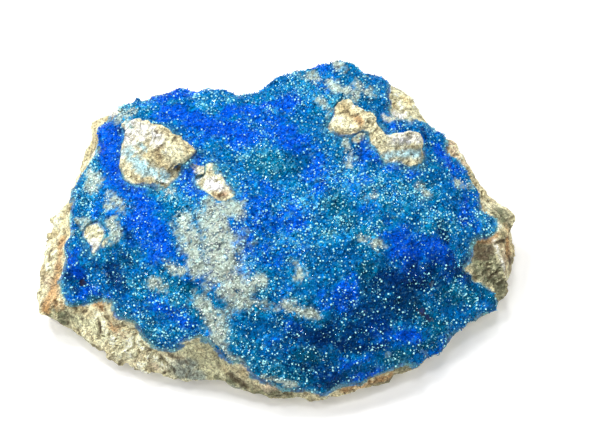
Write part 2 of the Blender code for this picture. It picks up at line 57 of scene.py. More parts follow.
# Patches of the crust. Each is a stroke: where it starts and ends, then its half width, in millimetres
SUGARY = [
    (-18.5, -3, 19.5, -17, -8, 20.5, 1.4), (-17, -8, 20.5, -15.5, -14.5, 19.5, 1.8),
    (-12.5, -3.5, 22, -11.5, -10, 21.5, 3.2), (-11.5, -10.5, 21, -10.5, -15, 20, 4.6),
    (-10.5, -15, 20, -8, -19, 18.5, 3.4), (-7, -18, 19, -3, -17, 19.5, 1.2),
    (-12, -1, 22.5, -7.5, -3, 21.5, 1.6), (-14.2, -20.5, 15.8, -11, -25.5, 13, 1.7),
    (0.5, -21, 17, 7.5, -22.5, 15.5, 0.8), (16.5, -8.5, 21, 20, -10, 20.5, 0.5),
    (16, 25.5, 24, 18, 23, 24.5, 0.8), (12, 25, 23, 15, 23.5, 23.5, 0.9), (9.5, 27.5, 22.5, 11, 26, 23, 0.7),
    (8, 22, 23.5, 10.5, 18.5, 24.5, 0.7), (6, 28.5, 22, 8, 27.5, 22, 0.7),
    (11.5, 31, 23.5, 12.5, 29.5, 23.5, 0.7), (14, 12, 23.5, 14, 7.5, 22, 0.6),
    (-22.5, 3.5, 19, -21, 2.5, 19.5, 0.8), (-32.5, 2.5, 17, -30.5, 0.5, 18, 0.7),
    (-33, -3, 17, -32, -6, 17.4, 0.9), (-24.5, -16, 17, -22.5, -17, 17, 0.8),
    (-20.5, -13.5, 18.5, -18.5, -14.5, 19, 0.8), (-40, -0.5, 15, -38.5, -1.5, 15, 0.8),
    (-34, 4.5, 17, -33.5, 1.5, 17, 0.6), (-37.5, 11, 15.5, -36, 7, 16.5, 0.5),
    (27.5, 3.5, 21, 29.5, 2.5, 20, 0.6), (36, 6.5, 17.5, 39, 7, 16, 0.8), (18, -0.5, 23, 19, 0, 23, 0.5),
    (-6, -20.5, 17.5, -3, -21, 16.5, 0.8), (4, -13.5, 19.5, 4.5, -15.5, 19, 0.8),
    (-32, 22.9, 15.7, -30, 23.8, 15.9, 1), (-38, 10.5, 15, -36.2, 7.8, 15.7, 0.8),
    (-38.3, 7, 15.4, -36.6, 5.3, 16, 0.7), (-12.5, -25.8, 12.5, -9.5, -28.3, 9.8, 0.5),
    (-9.5, -28.3, 9.8, -5.5, -31, 8, 0.45), (-3, -32.3, 8, 3, -33.2, 6.5, 0.3),
]
FROSTED = [
    (-16.5, 26.5, 18, -14, 22, 19.5, 1.2), (-12.5, 26.5, 18, -10, 25, 18.5, 1),
    (-4.5, 23.5, 20, -1, 21.5, 21, 1), (4.5, 25.5, 22, 10.5, 21.5, 23.5, 1.8),
    (0.5, 27.5, 20.5, 4.5, 28, 22, 1.2), (-6.5, 11, 21, -0.5, 9, 21.5, 2),
    (-29, -15.5, 15, -24.5, -17.5, 16, 1), (4.5, -0.5, 21.5, 14, 3.5, 23, 4),
    (14, 3.5, 23, 24, 0.5, 22.5, 4), (24, 0.5, 22.5, 30, 3, 20, 2.4), (12, -6, 22, 19, -7.5, 22, 1.8),
    (1.5, -9, 20.5, 10, -7.5, 21.5, 2.4), (30, -3, 20, 35, -3, 17, 1.8), (-40.5, 6, 13, -37.5, 1.5, 15, 1),
    (-23, 3.5, 19, -15, -1.5, 21.5, 1.8), (-11, 6.5, 21.5, -7.5, 2, 21.5, 1.6),
    (-25, -23.5, 11.5, -15, -25, 12.5, 1), (-5.5, -13, 19.5, -2.5, -18.5, 18.5, 1.8),
    (35, -14, 11.5, 39, -15.5, 8.5, 1), (-1.5, -31, 9, 4.5, -32, 8, 1), (-4.5, 18, 20.5, -2.5, 16, 21, 0.6),
    (-3.5, 13, 21, -1, 14.5, 21, 0.6), (39.5, 0.8, 14.3, 42.5, -1.7, 13, 1.1),
    (-30, -20, 11, -26, -21.5, 12, 1.2), (-33, 24.8, 15.3, -26.5, 25, 16.8, 1.3),
    (-37.8, 12.5, 15, -36.8, 4, 16, 1.4), (-24.5, -17, 15.5, -17, -21.5, 15.5, 1.8),
    (-10.5, -24.5, 13.5, -7, -27, 12, 1.4), (-5, -29.5, 10, 6, -31.5, 8.5, 0.7),
]
ROYAL = [
    (-34.6, 21, 15.5, -33.3, 8.5, 17.2, 2.4), (-34, 7, 17, -28, 1.5, 18.5, 1.8),
    (-27, 0, 19, -23, -10, 19, 2.8), (-41, -7.5, 12.5, -39.5, -10.5, 9.5, 1.4),
    (-23, 22.5, 18.5, -7.5, 16.5, 20.5, 2.6), (-24, 25.5, 17.5, -18, 28.5, 17, 1.2),
    (-10.5, 22, 19.5, 2.5, 23.5, 21, 1.6), (0.5, 16, 21.5, 6.5, 8.5, 22.5, 2.4),
    (22, -8.5, 20.5, 32, -9.5, 16, 2.4), (24, -24, 11, 28, -24.5, 9, 1.2),
    (10, -31, 8.5, 18.5, -30.5, 7.5, 1.6), (6, 7.5, 22.5, 8.5, 1.5, 22.5, 1.6),
    (32.5, 13, 18.5, 36.5, 8, 17, 1.6), (-24.5, -19, 15.5, -18, -23, 14.5, 1.6),
    (2.5, -1.5, 22, 4.5, -5.5, 21, 1.6),
]
# Painted shade over the crust's front slopes, which face away from the lamps
BROAD_SHADE = [
    (4.5, -25, 14, 14, -25.5, 13, 3), (14, -25.5, 13, 24, -19, 14.5, 4), (20, -17, 17, 30, -13, 14.5, 3.2),
    (-1.5, -31.5, 9, 10.5, -32.5, 7.5, 2), (-33, -10.5, 14.5, -31, -15.5, 14.5, 1.5),
    (34, -10.5, 15, 38.5, -10.5, 11, 1.8),
]
# Painted shade in small hollows and dark lines of the crust
SMALL_SHADE = [
    (-41, -11.5, 8.5, -40, -13, 8, 0.6), (-31, -9, 17, -28.5, -11.5, 17, 0.8),
    (-37, -9.5, 13.5, -33, -12.5, 13.5, 0.8), (15.5, 12, 23.5, 16, 9, 22.5, 0.7),
    (23.5, 6.5, 23, 28, 8.5, 21, 0.3), (-41.5, -10.5, 9.5, -39.8, -13, 8, 0.7),
    (-32, 19.5, 17, -30.5, 7.5, 18, 0.2), (-29.5, 6, 18.5, -23.5, 4.5, 19, 0.2),
    (-21, 6.5, 19.5, -18.5, 9, 21.5, 0.2), (20, -15, 18, 28, -15, 15, 1.1),
    (8.5, -26, 13, 12, -27, 11.5, 1.3), (16, -27.5, 10.5, 21, -26.5, 10.5, 0.9),
    (-38.5, -3.5, 13.5, -37.5, -5, 14, 0.4), (-40, 5.5, 14, -39, 3, 14.5, 0.4),
    (32, -4, 18, 33.5, -6, 16, 0.8), (29, 17.5, 19.5, 30.5, 12.5, 19.5, 0.3),
    (-30, -4.5, 18, -29, -7, 18, 0.6),
]
TEAL = [
    (34, -15, 11.5, 42.5, -14, 8, 2.6), (-3, -32.5, 8, 10.5, -33, 7, 1.2), (12, -32, 8, 32, -24, 7.5, 1),
    (10.5, -1, 22.5, 13, -4, 22.5, 2), (17.5, -14.5, 18.5, 18, -17, 17.5, 2),
    (-21.5, -16, 16.8, -16, -18, 17.5, 1.2), (-3, 8, 21, 4.5, 8.5, 22, 2.6),
    (4.5, -29, 11.5, 10.5, -30, 9, 2), (-33.5, -5, 17, -29, -10.5, 17, 2.2), (-39, -16, 9, -36, -16, 9, 0.8),
    (-40.5, -3, 12.5, -37.5, -4, 14, 0.9), (-32.5, -20, 9.5, -24.5, -24.5, 10, 0.8),
    (38.5, -11.5, 10, 43.5, -15, 7, 1.4), (26, -19, 13.5, 32, -22, 8.5, 1.8),
]
CALM = [
    (39.5, -13.2, 10, 42.5, -14.8, 7.5, 1),
]
BARE = [
    (-15.7, 7.8, 21, -13.3, 5.2, 20.7, 1), (-15.4, 6.5, 19.4, -14, 5.5, 19.5, 0.8),
    (23.5, 19, 22.7, 26.8, 19.6, 20.9, 0.9), (21.1, 18.1, 23.3, 22.3, 17.7, 23.2, 0.5),
    (-35.7, -7.4, 15.2, -34.5, -6.3, 16, 0.6), (15.3, 12.3, 23.6, 16.7, 13.2, 23.6, 0.5),
    (-34.6, 24.8, 13.5, -33.4, 24.3, 15, 0.9),
]

# Patches of the rock, in the same form
SNOW = [
    (-36.5, -6, 14, -35, -8, 15, 0.8), (-29, 18.5, 20, -26.5, 17, 20, 1.2),
    (-30.5, 17, 19, -29.5, 13.5, 19, 1), (-27.5, 17, 19.5, -24.5, 13, 23, 1.4),
    (23, 12, 24.5, 27.5, 12, 25, 0.9), (23, 18.5, 23, 24.5, 20.5, 20.5, 0.8), (-13, 4, 21, -11, 2, 21, 0.8),
    (-35, 25, 12.5, -33, 25.5, 14, 1),
]
# Paler skarn on the knobs and the ear; the strokes at the left end are painted light where that side is lit
# brightest
PALE = [
    (23.2, 26.5, 20, 27.5, 23.5, 18.7, 2), (24.5, 21.5, 20, 28, 20, 20.5, 1.6),
    (-46.5, -2, 6, -45.5, -8, 7.5, 1.2), (-44.5, -4, 8.5, -43.7, -8.5, 8.6, 1),
    (-38.3, -20.9, 2, -33.5, -22.5, 6, 1.2), (-35, -21, 6.3, -29, -24.2, 6.1, 1.2),
    (-15.5, 6.5, 21, -12, 3, 21, 1.2), (-36.5, -2.8, 14.5, -35, -5.5, 15.5, 1.1),
    (12, 17, 24, 14, 15, 24.5, 1.2), (-27.5, -24, 7, -24, -25.5, 7, 0.8),
    (-22, 10.5, 22.5, -19.5, 9, 22, 1.4), (-46.9, -12, 6, -46.3, -15.5, 6.5, 0.9),
    (-35.5, -19, 8, -32, -21, 7.5, 1), (-41, -17.5, 5, -38, -20, 5, 0.9),
    (-33, -22.5, 4, -26, -26.5, 4, 1.4), (-26, -26, 5.5, -20.5, -28, 5, 0.8),
    (40.5, 6, 14, 42, 3.5, 12.5, 1), (46.5, -6, 5, 46, -9, 4, 0.8),
]
SAND = [
    (-23.9, 12.2, 22.9, -23.8, 8.5, 21.9, 0.7), (-22.5, 7, 21.5, -21.5, 7, 20.5, 0.5),
    (12.5, 19.5, 25, 14.5, 17.5, 25, 0.6), (20, -30.5, 6.5, 28, -28, 7.5, 0.9),
    (-26, 25.5, 17, -24, 27, 16.5, 1.2), (25.5, 25, 19.5, 26.5, 24, 19, 0.4),
    (45, -2, 10.5, 46.5, -5, 7, 0.7),
]
SAGE = [
    (-16, -27.5, 7, -9, -28.5, 8, 2.2), (-19.5, -26.5, 8, -14, -26, 9, 1.4),
    (-44, -16.5, 5, -36, -20, 6, 1.2), (-14.5, -29.5, 4.5, -9.5, -30, 5.5, 1.4),
]
RUST = [
    (-12, 1.5, 21, -10.5, 1.5, 21, 0.4), (15.5, 16.5, 25, 16.5, 15.5, 25, 0.4),
    (22.5, 17, 23, 24, 17, 22.5, 0.4), (-43.5, -8, 9, -46, -16, 6.5, 0.8), (-43, -2, 9, -43.5, -7, 9, 0.5),
    (-36, -16, 9, -34.5, -17, 9, 0.7), (-45, -13, 7, -43.5, -16, 7, 0.6),
    (-33, -20.5, 8, -31.5, -21.5, 7.5, 0.4), (-31, -21.5, 8.5, -26, -24.5, 8.5, 0.35),
    (40, -3.5, 12, 43, -3, 11.5, 0.6), (45.5, 0, 9, 47, -5, 7, 0.8), (34.5, -21.5, 7.5, 36.5, -20, 7, 0.6),
    (13, -33, 4.5, 22, -30, 4, 0.7), (-41, -16.5, 8, -38.5, -17, 8, 0.5),
]
# Olive grains and faces; the strokes low along the front foot are painted shade under the overhang
OLIVE = [
    (-43, -17.5, 6.5, -39.5, -19, 6.5, 0.8), (39.5, -8, 10.5, 44, -11, 7.5, 2),
    (39.5, -5, 11.7, 40.5, -8, 10.5, 1.4), (41.5, -6, 10.5, 43.2, -9.5, 8, 1.1),
    (45, -1.5, 10, 46.5, -4.5, 7, 0.5), (44, -8, 8.5, 45, -11, 6, 0.8), (24, -29, 6, 29, -27.5, 4, 1),
    (44.3, 2.8, 10.6, 46.4, 3.4, 9.7, 1), (44.5, 2.3, 10.5, 46.5, 1, 9.3, 0.9),
    (-1, -34.4, 3.8, 3.5, -34.3, 3.8, 1.1), (42.8, -14, 7, 45.5, -13, 5.5, 1.4),
    (-45, -16.5, 6.5, -42.5, -18, 4, 0.9), (-12, -30.9, 3.6, -6, -33, 3.9, 1.1),
    (-6, -33.1, 3.5, -2, -34.2, 2.8, 0.9), (19, -31.5, 2.5, 25, -29.8, 2.5, 1),
    (-22.5, -28.8, 2, -15, -30.5, 2, 0.6),
]
# Dark grey: the strokes low at the front are painted shade in the crevice and under the overhang; the last
# one is a grey patch on the top
CHAR = [
    (-20.5, -28.5, 4.5, -15.5, -30.5, 4, 1.4), (-19.5, -28, 6, -17, -28.5, 5.5, 1),
    (-14, -30.5, 2.5, -7.5, -32.5, 3, 0.8), (-16, -26.5, 9.5, -12.5, -26.5, 11.5, 0.6),
    (22, 9.3, 22.4, 28, 9.6, 22.7, 1.1),
]
BROWN = [
    (39, -6, 12, 42.5, -5.5, 11, 0.7), (39.5, -7, 11.5, 41.5, -7, 10, 0.4),
    (-21.5, -26.5, 7, -18, -28, 6, 0.2), (25.5, 12.5, 25.5, 26, 12, 25, 0.2),
    (-27.5, -26.5, 4.5, -25, -25.5, 6.5, 0.2), (-32.5, -20, 9.5, -31, -21.5, 8.5, 0.3),
    (45.5, -1, 7, 47, -8, 5, 0.5), (-46, 0, 7, -45.3, -6, 7.5, 0.3), (-46.3, -14, 4, -43, -18, 3, 0.3),
    (-11.5, 1, 21, -10.8, 1, 21, 0.3), (-23.6, 10.8, 22.5, -23.3, 8.5, 22, 0.2),
    (22.5, 9, 22, 23.5, 9, 22, 0.3), (26, 25, 19.5, 27, 24.5, 19, 0.15),
]
# Open cracks, pressed into the rock, with painted shade in them
CRACKS = [
    (-29.5, 18, 19.5, -25, 8.5, 21, 0.1), (-25.5, 19.5, 19, -24, 14.5, 23, 0.1),
    (11.5, 13, 23.5, 16.5, 13.5, 23.5, 0.1), (-12.3, -25.5, 11.5, -9.5, -29.5, 8, 0.1),
    (-40, -16.5, 7, -37, -21.5, 4, 0.1), (43.5, -4, 11, 46.5, -1, 8, 0.1),
    (-14, -25.8, 11, -12.7, -27.3, 7.8, 0.3), (-12.7, -27.3, 7.8, -10.8, -29.5, 6.4, 0.4),
    (-10.8, -29.5, 6.4, -6.2, -32.6, 4.4, 0.4), (-24, -26, 6.5, -20.5, -28.8, 4, 0.15),
    (-35.5, -19, 8, -34, -23, 3.5, 0.15),
]
# Painted highlight: pale lines along the rock's ridges
RIDGE_HIGHLIGHT = [
    (43, -3.5, 11.5, 45, -8, 8.5, 0.15), (45, -8, 8.5, 46.2, -11.5, 6, 0.15),
    (-8, -25.5, 12.5, -4, -30, 9.5, 0.3),
]
FROSTY = [
    (-30, 12.5, 19, -26, 8, 19, 1.7), (-26, 8, 19.2, -22.5, 5.8, 20.2, 1), (-27.5, 14, 19, -26, 12, 20, 0.5),
    (22, 9.5, 22.4, 28, 9.8, 22.8, 0.6), (-32, 21.5, 16, -29.5, 18, 19, 0.6),
    (-12.5, -1.5, 20.5, -10, -2, 21, 0.6),
]
# Painted shade: rock seen through hollows in the crust, painted dark blue
HOLLOW_SHADE = [
    (-39.3, -10.8, 8, -38.4, -11.8, 7.6, 1), (30.2, -13.6, 13.7, 29.8, -14.9, 13.2, 1),
    (27.2, -19, 12, 29.9, -20.2, 9.6, 1),
]
PINK = [
    (40.5, 5.5, 14.5, 41.5, 3.5, 12, 1), (41.5, 3.5, 12, 43, 1, 13, 0.8), (-6.5, -30, 9, 0, -33.5, 4.5, 0.7),
    (34.5, 17.5, 15.5, 37, 10.5, 15, 1), (-35, -19, 8, -30, -23.5, 6.5, 1), (45, -4, 9, 46.5, -9, 7, 1),
    (-28.5, -26, 4.5, -21, -28, 5, 1.3), (-45.5, -3, 8, -46.5, -12, 7, 1),
]

# Heights, reaches and distances on the object, in millimetres
FOOT = 0.3
FOOT_RISE = 2
CRUST_EDGE = (0.3, 1.1)
THIN_RIM = (0.4, 3.2)
SMOOTH_RIM = (0.8, 3.0)
CRYSTAL_RIM = (0.8, 2.5)
CRACK_REACH = 0.45
STEP_SIZE = 7.0
STEP_LEAN = np.array([0.10, -0.13, 0.17])
RAY_ROOT = 0.3
RAY_REACH = 4.0
TOUCH = 0.6
LEAST_OUTER = 0.16
LEAST_INNER = -0.1
SMALLEST_GAP = 0.05
LIFT = 0.05
CLEARANCE = 2.5

# Shares and counts
COVERED_RELIEF = 0.1
EDGE_RELIEF = 0.25
LEAST_SHARE = 0.03
TRIES = 5

# The lamps: turn from the right end, rise over the floor, and share of the light
LAMPS = (
    (130, 50, 0.48), (160, 42, 0.22), (95, 60, 0.26), (60, 48, 0.16), (200, 55, 0.16), (0, 50, 0.12),
    (-60, 45, 0.10), (-130, 42, 0.10), (90, 85, 0.18),
)
LAMP_POWER = 5.55
LAMP_DISTANCE = 0.75
LAMP_AIM = (0, 0, 0.01)
CAMERA_AIM = Vector((4.4, 1.52, 11.0)) * MM


def settings_of(part):
    return getattr(bpy.context.scene, "specimen_" + part)


def colour(name, description, default):
    return FloatVectorProperty(name=name, description=description, default=default, size=3, min=0, max=1,
                               subtype="COLOR")


def length(name, description, default):
    return FloatProperty(name=name, description=description, default=default, min=0, precision=5,
                         subtype="DISTANCE", unit="LENGTH")


class RockSettings(PropertyGroup):
    voxel: length("Mesh size", "Spacing of the points on the rock", 0.43 * MM)
    chips: length("Chips", "Height of the broken chips", 0.9 * MM)
    coarse: length("Coarse relief", "Height of the broken lumps", 0.45 * MM)
    fine: length("Fine relief", "Height of the broken grains", 0.14 * MM)
    steps: length("Steps", "Height of the flaky steps", 0.45 * MM)
    cracks: length("Cracks", "Depth of the open cracks", 0.6 * MM)
    cream: colour("Cream", "Fresh skarn", (0.70, 0.62, 0.38))
    white: colour("Pale", "Palest skarn", (0.97, 0.91, 0.58))
    snow: colour("White", "White calcite", (0.97, 0.96, 0.84))
    tan: colour("Tan", "Weathered skarn", (0.47, 0.36, 0.16))
    olive: colour("Olive", "Green grey garnet and epidote grains", (0.10, 0.12, 0.06))
    grey: colour("Grey", "Grey grains", (0.28, 0.34, 0.30))
    sage: colour("Sage", "Smooth grey green faces", (0.57, 0.57, 0.35))
    rust: colour("Rust", "Iron stain", (0.50, 0.25, 0.08))
    # Brown serves both real stain and painted shade in the hollows and cracks
    brown: colour("Brown", "Dark hollows and stain", (0.08, 0.05, 0.025))
    pink: colour("Pink", "Pinkish weathered rim", (0.64, 0.47, 0.34))
    frost: colour("Frost", "White and pale blue crystals", (0.42, 0.68, 0.74))


class CrustSettings(PropertyGroup):
    voxel: length("Mesh size", "Spacing of the points on the crust", 0.38 * MM)
    gap: length("Gap", "Gap to the rock, which the crust sinks to close", 0.45 * MM)
    thinning: FloatProperty(name="Thin edge", description="Thickness lost at the crust's edge",
                            default=0.75, min=0, max=1, subtype="FACTOR")
    cushions: length("Cushions", "Height of the rounded crystal cushions", 0.8 * MM)
    druse: length("Druse", "Height of the single crystals", 0.25 * MM)
    royal: colour("Royal blue", "Deepest kinoite", (0.0, 0.085, 0.74))
    azure: colour("Azure", "Usual kinoite", (0.0, 0.135, 0.42))
    cyan: colour("Cyan", "Kinoite under clear crystals", (0.0, 0.30, 0.52))
    pale: colour("Pale", "Clear crystals with a little blue", (0.15, 0.43, 0.54))
    dark: colour("Dark", "Shaded hollows", (0.0, 0.022, 0.13))
    teal: colour("Teal", "Thin kinoite over grey rock", (0.0, 0.10, 0.17))
    calm: colour("Smooth patch", "Smooth kinoite, no clear crystals", (0.0, 0.13, 0.27))
    sugar: colour("Sugar", "Sugary grey druse without blue", (0.50, 0.59, 0.50))
    edge: colour("Edge", "Thin pale edge of the crust", (0.13, 0.38, 0.42))


class CrystalSettings(PropertyGroup):
    blades: IntProperty(name="Blades", description="Number of blue blades", default=16000, min=0)
    blade_size: length("Blade size", "Width of a blue blade", 0.26 * MM)
    clears: IntProperty(name="Clear crystals", description="Number of clear crystals", default=2600, min=0)
    clear_size: length("Clear crystal size", "Width of a clear crystal", 0.32 * MM)
    sparks: IntProperty(name="Bright crystals", description="Number of bright crystals", default=23000, min=0)
    spark_size: length("Bright crystal size", "Width of a bright crystal", 0.155 * MM)
    # Partly the white of the pale crystals, partly painted glints: the brightest crystals stand in for lit
    # facets
    pale_and_glint: colour("Brightest crystals", "Colour of the brightest crystals", (0.48, 0.95, 1.0))
    ice: colour("Pale blue crystals", "Colour of the usual bright crystals", (0.10, 0.68, 0.88))
    glint: colour("Glints", "Tint of the reflections", (0.35, 0.90, 1.0))


class StageSettings(PropertyGroup):
    floor_size: length("Floor", "Side of the floor", 6.0)
    floor: colour("Floor colour", "Plain pale floor", (0.93, 0.93, 0.93))
    floor_glow: FloatProperty(name="Floor glow", description="Light of the floor itself", default=0.15, min=0)
    light: FloatProperty(name="Light", description="Share of the lamps' usual power", default=1.0, min=0)
    lamp_size: length("Lamp size", "Width of each lamp", 0.16)
    sky: FloatProperty(name="Sky", description="Brightness of the even light", default=0.12, min=0)
    distance: length("Camera distance", "From the middle of the specimen", 0.45)
    elevation: FloatProperty(name="Camera height", description="Angle over the floor",
                             default=math.radians(60), subtype="ANGLE", unit="ROTATION")
    lens: FloatProperty(name="Lens", description="Focal length", default=135.0, min=1, unit="CAMERA")


# Selection and modifiers

def deselect_all():
    if bpy.context.object and bpy.context.object.mode != "OBJECT":
        bpy.ops.object.mode_set(mode="OBJECT")
    bpy.ops.object.select_all(action="DESELECT")


def activate(obj):
    deselect_all()
    obj.select_set(True)
    bpy.context.view_layer.objects.active = obj


def new_object(name, data):
    obj = bpy.data.objects.new(name, data)
    bpy.context.scene.collection.objects.link(obj)
    return obj


def apply_modifier(obj, kind, **settings):
    modifier = obj.modifiers.new(kind.lower(), kind)
    for key, value in settings.items():
        setattr(modifier, key, value)
    activate(obj)
    bpy.ops.object.modifier_apply(modifier=modifier.name)


def merged_copy(node, name):
    """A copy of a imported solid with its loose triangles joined."""
    mesh = SOLIDS[node].data.copy()
    mesh.name = name
    mesh.materials.clear()
    obj = new_object(name, mesh)
    activate(obj)
    bpy.ops.object.mode_set(mode="EDIT")
    bpy.ops.mesh.select_all(action="SELECT")
    bpy.ops.mesh.remove_doubles(threshold=1e-6)
    bpy.ops.object.mode_set(mode="OBJECT")
    return obj


def remesh(obj, size):
    apply_modifier(obj, "REMESH", mode="VOXEL", voxel_size=size, adaptivity=0.0, use_smooth_shade=False)


def displace(obj, height, name, kind, size, group, middle=0.5, **settings):
    """Pushes the surface out by a pattern of a size in millimetres, as far as the vertex group lets it."""
    pattern = bpy.data.textures.new(name, kind)
    pattern.noise_scale = size * MM
    for key, value in settings.items():
        setattr(pattern, key, value)
    apply_modifier(obj, "DISPLACE", texture=pattern, strength=height, mid_level=middle,
                   texture_coords="LOCAL", vertex_group=group)


def weight_points(obj, name, shares):
    """A vertex group with a share for each point."""
    made = obj.vertex_groups.new(name=name)
    for index, share in enumerate(shares):
        made.add([index], share, "REPLACE")


# Points, noise and patches, all in millimetres

def vectors_of(mesh, key):
    flat = np.empty(len(mesh.vertices) * 3)
    mesh.vertices.foreach_get(key, flat)
    return flat.reshape(-1, 3)


def points_of(mesh):
    return vectors_of(mesh, "co") / MM


def move_points(mesh, points):
    mesh.vertices.foreach_set("co", (points * MM).ravel())
    mesh.update()


def cloud(points, size, shift, octaves=3):
    """Smooth noise from about -1 to 1 at each point."""
    return np.array([noise.fractal(Vector(p), 0.7, 2.0, octaves) for p in points / size + shift])


def smooth(values, low, high):
    share = np.clip((values - low) / (high - low), 0, 1)
    return share * share * (3 - 2 * share)


def patch_mask(points, patches, wobble=0.0, reach=0.9):
    """How far each point lies in any of the patches, with wavering edges."""
    mask = np.zeros(len(points))
    for *ends, width in patches:
        first, last = np.array(ends, dtype=float).reshape(2, 3)
        along = last - first
        share = np.clip((points - first) @ along / (along @ along), 0, 1)
        distance = np.linalg.norm(points - first - share[:, None] * along, axis=1)
        edge = distance + wobble * (0.6 + 0.35 * width)
        mask = np.maximum(mask, 1 - smooth(edge, width * 0.45, width * 1.25 + reach))
    return mask


def mask_maker(points, wobble):
    """A function that masks these points by a list of patches, with a share of the wobble."""
    def inside(patches, share=1.0, reach=0.9):
        return patch_mask(points, patches, wobble * share, reach)
    return inside


def tree_of(obj):
    mesh = obj.data
    return BVHTree.FromPolygons([v.co[:] for v in mesh.vertices], [f.vertices[:] for f in mesh.polygons])


def nearest_on(node, points):
    """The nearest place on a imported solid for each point, and how far it is."""
    tree = tree_of(SOLIDS[node])
    found = [tree.find_nearest(Vector(p) * MM) for p in points]
    return np.array([f[0][:] for f in found]) / MM, np.array([f[3] for f in found]) / MM


def mark_covered(mesh):
    """Stores for each point of the rock whether the crust lies over it."""
    crust = tree_of(SOLIDS["kinoite_crust"])
    covered = []
    for vertex in mesh.vertices:
        start = vertex.co - vertex.normal * RAY_ROOT * MM
        hit = crust.ray_cast(start, vertex.normal, RAY_REACH * MM)[0]
        above = crust.ray_cast(vertex.co, Vector((0, 0, 1)), RAY_REACH * MM)[0]
        near = crust.find_nearest(vertex.co)[3] < TOUCH * MM
        covered.append(float(near or (hit is not None and (above is not None or vertex.normal.z < 0.5))))
    layer = mesh.attributes.new("covered", "FLOAT", "POINT")
    layer.data.foreach_set("value", covered)
    return np.array(covered)


def distance_to_bare_rock(points):
    """How far each point is from the nearest bit of rock that no crust covers."""
    mesh = bpy.data.objects["rock_body"].data
    covered = np.array([point.value for point in mesh.attributes["covered"].data])
    bare = points_of(mesh)[covered < 0.5]
    tree = KDTree(len(bare))
    for index, spot in enumerate(bare):
        tree.insert(spot, index)
    tree.balance()
    return np.array([tree.find(p)[2] for p in points])


def hollows(mesh):
    """How hollow, above 0, or proud, below 0, the surface is at each point, in millimetres."""
    points = points_of(mesh)
    ends = np.array([edge.vertices[:] for edge in mesh.edges])
    first, second = ends.T
    count = np.bincount(ends.ravel(), minlength=len(points))[:, None]
    spread = points
    for _ in range(2):
        total = np.zeros_like(points)
        np.add.at(total, first, spread[second])
        np.add.at(total, second, spread[first])
        spread = total / np.maximum(count, 1)
    return ((spread - points) * vectors_of(mesh, "normal")).sum(axis=1)


def flaky_steps(points):
    """The broken steps in the rock, from 0 at the foot of a step to 1 at its edge."""
    return np.mod(points @ STEP_LEAN + 1.1 * cloud(points, STEP_SIZE, 71.0, 4), 1.0)


# Colours of the points

def blend(under, over, amount):
    under = np.asarray(under)
    return under + (np.asarray(over) - under) * np.asarray(amount)[:, None]


def layered(tone, coats):
    """A colour with coats of other colours over it, each with its share at each point."""
    for over, amount in coats:
        tone = blend(tone, over, amount)
    return tone


def crust_tones(points, rim):
    """Colour of the crust at each point, with its distance from bare rock; shade is painted over the front
    slopes and into small hollows.
    """
    look = settings_of("crust")
    rock = settings_of("rock")
    wide = cloud(points, 9.0, 11.0)
    middle = cloud(points, 2.6, 29.0)
    small = cloud(points, 0.9, 47.0)
    ragged = rim + 0.9 * middle + 0.6 * small
    inside = mask_maker(points, 1.1 * middle + 0.7 * small)
    frosted = inside(FROSTED)
    halo = blend(look.teal, look.cyan, smooth(small, -0.4, 0.3))
    sugar = layered(look.sugar, (
        (rock.pink, smooth(middle + small, 0.1, 0.9) * 0.5),
        (rock.grey, smooth(-small - 0.5 * middle, 0.2, 0.8) * 0.5),
    ))
    return np.clip(layered(look.azure, (
        (look.royal, smooth(wide + 0.5 * middle, 0.0, 0.5) * 0.75),
        (look.cyan, smooth(middle + 0.6 * small - 0.3 * wide, 0.25, 0.8) * 0.5),
        (look.edge, (1 - smooth(ragged, 0.6, 1.9)) * smooth(small, -0.8, 0.2) * 0.7),
        (look.royal, inside(ROYAL) * 0.85),
        (look.teal, inside(TEAL) * 0.75),
        # Painted shade over the front slopes
        (look.dark, inside(BROAD_SHADE) * 0.8),
        (look.cyan, frosted * smooth(small + middle, -0.6, 0.5) * 0.6),
        (look.pale, frosted * smooth(small + 0.5 * middle, 0.2, 0.8) * 0.6),
        (halo, inside(SUGARY, 1.2, 2.4) * 0.75),
        (sugar, inside(SUGARY, 1.2, 0.6) * smooth(small * 0.8 - 0.4 * middle, -0.75, -0.25) * 0.95),
        (look.pale, smooth(small, 0.5, 0.8) * 0.3),
        (look.teal, smooth(-small + 0.4 * middle, 0.45, 0.9) * 0.5),
        # Painted shade in the small hollows
        (look.dark, inside(SMALL_SHADE, 0.5, 0.4) * 0.85),
        (look.calm, inside(CALM, 0.3, 0.2)),
        (rock.white, inside(BARE, 0.6, 0.4) * smooth(small, -0.9, -0.3) * 0.9),
    )), 0, 1)


